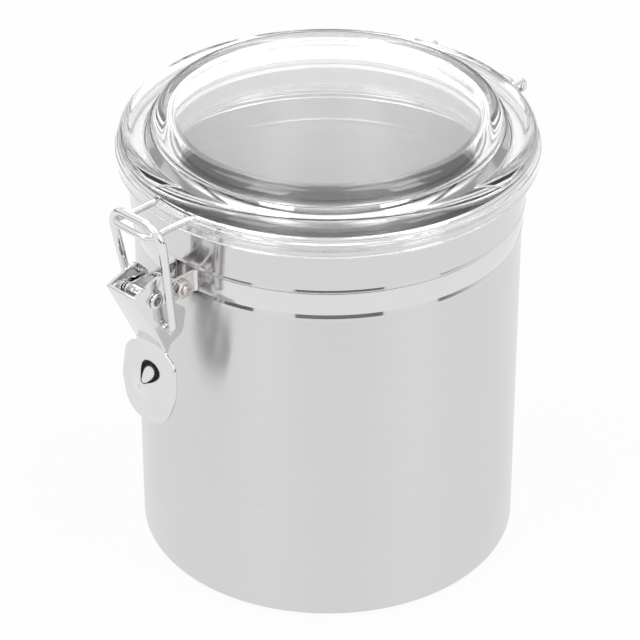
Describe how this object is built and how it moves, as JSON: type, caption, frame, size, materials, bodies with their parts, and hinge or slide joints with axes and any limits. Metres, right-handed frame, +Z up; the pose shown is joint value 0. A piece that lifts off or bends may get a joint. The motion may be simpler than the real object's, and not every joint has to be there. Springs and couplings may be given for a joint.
{
  "type": "food canister",
  "caption": "Round steel food canister with a clear plug lid, a wire bail hinged at the back and an over-centre lever latch at the front.",
  "frame": {"origin": "centre of the flat base the canister stands on", "axes": "+Z up along the can's axis, the latch faces -Y and the hinge is at +Y"},
  "size_m": [0.1378, 0.1671, 0.158],
  "materials": {
    "brushed_steel_body": "brushed stainless steel, fine grain",
    "polished_band": "polished stainless strap",
    "plated_fixings": "nickel plated screw and nut",
    "plated_rivet": "plated hollow rivet",
    "clear_acrylic": "clear moulded acrylic",
    "seal_silicone": "translucent silicone",
    "plated_wire": "chrome plated wire",
    "plated_lever": "chrome plated pressed steel"
  },
  "bodies": {
    "canister": {"can_shell": "brushed_steel_body", "clamp_band": "polished_band", "clamp_screw": "plated_fixings", "clamp_nut": "plated_fixings", "pivot_rivet": "plated_rivet", "hinge_bracket": "polished_band"},
    "lid": {"lid": "clear_acrylic", "lid_seal": "seal_silicone", "lid_bail": "plated_wire"},
    "lever": {"latch_lever": "plated_lever"},
    "link": {"latch_link": "plated_wire"}
  },
  "joints": [
    {"name": "lid_hinge", "type": "hinge", "parent": "canister", "child": "lid", "pos_m": [0, 0.073, 0.1432], "axis": [-1, 0, 0], "range_deg": [0, 105]},
    {"name": "lever_pivot", "type": "hinge", "parent": "canister", "child": "lever", "pos_m": [0, -0.0825, 0.123], "axis": [-1, 0, 0], "range_deg": [0, 110]},
    {"name": "link_pivot", "type": "hinge", "parent": "lever", "child": "link", "pos_m": [0, -0.0779, 0.111], "axis": [1, 0, 0], "range_deg": [0, 143]}
  ],
  "couplings": [
    {"joint": "link_pivot", "follows": "lever_pivot", "ratio": 1.3}
  ]
}
